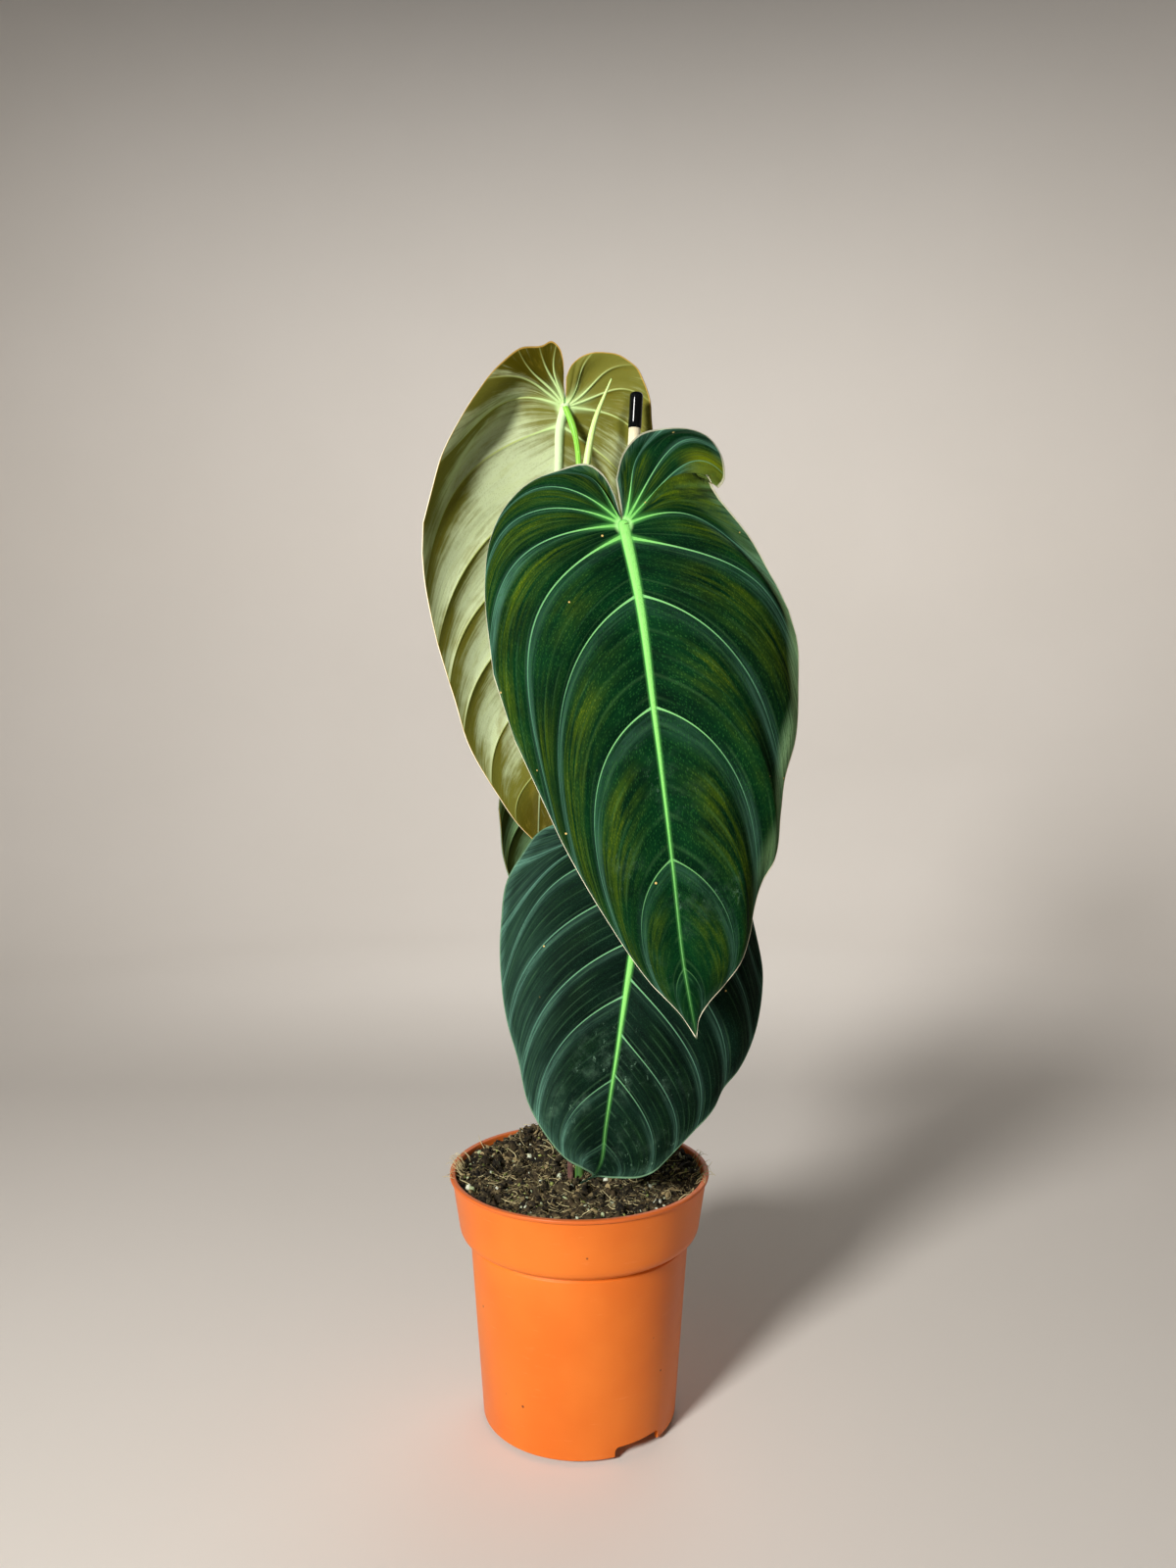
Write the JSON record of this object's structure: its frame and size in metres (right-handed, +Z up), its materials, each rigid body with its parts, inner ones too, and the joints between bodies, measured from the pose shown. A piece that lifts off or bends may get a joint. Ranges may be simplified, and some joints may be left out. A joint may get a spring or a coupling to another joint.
{
  "type": "potted philodendron melanochrysum",
  "caption": "Climbing aroid house plant with long velvety heart-shaped hanging leaves and a capped wooden stake, in a round plastic nursery pot of peat.",
  "frame": {"origin": "centre of the pot's flat base, on the surface that it stands on", "axes": "+Z up along the pot's axis, -Y towards the plant's front, +X to its right"},
  "size_m": [0.1641, 0.1565, 0.4948],
  "materials": {
    "pot": "moulded plastic, satin",
    "soil": "peat and bark crumb, matte",
    "stake": "bare pale wood",
    "stake_cap": "gloss",
    "stem": "smooth green stalk",
    "dried_sheath": "dry, papery",
    "new_leaf": "smooth, rolled",
    "leaf": "velvet above, matte olive below"
  },
  "bodies": {
    "root": {"pot": "pot", "soil": "soil", "stake": "stake", "stake_cap": "stake_cap", "stem": "stem", "dried_sheath": "dried_sheath", "new_leaf_spear": "new_leaf", "leaf_front_upper": "leaf", "petiole_front_upper": "stem", "leaf_back_upper": "leaf", "petiole_back_upper": "stem", "leaf_front_lower": "leaf", "petiole_front_lower": "stem", "leaf_back_lower": "leaf", "petiole_back_lower": "stem"}
  },
  "joints": []
}
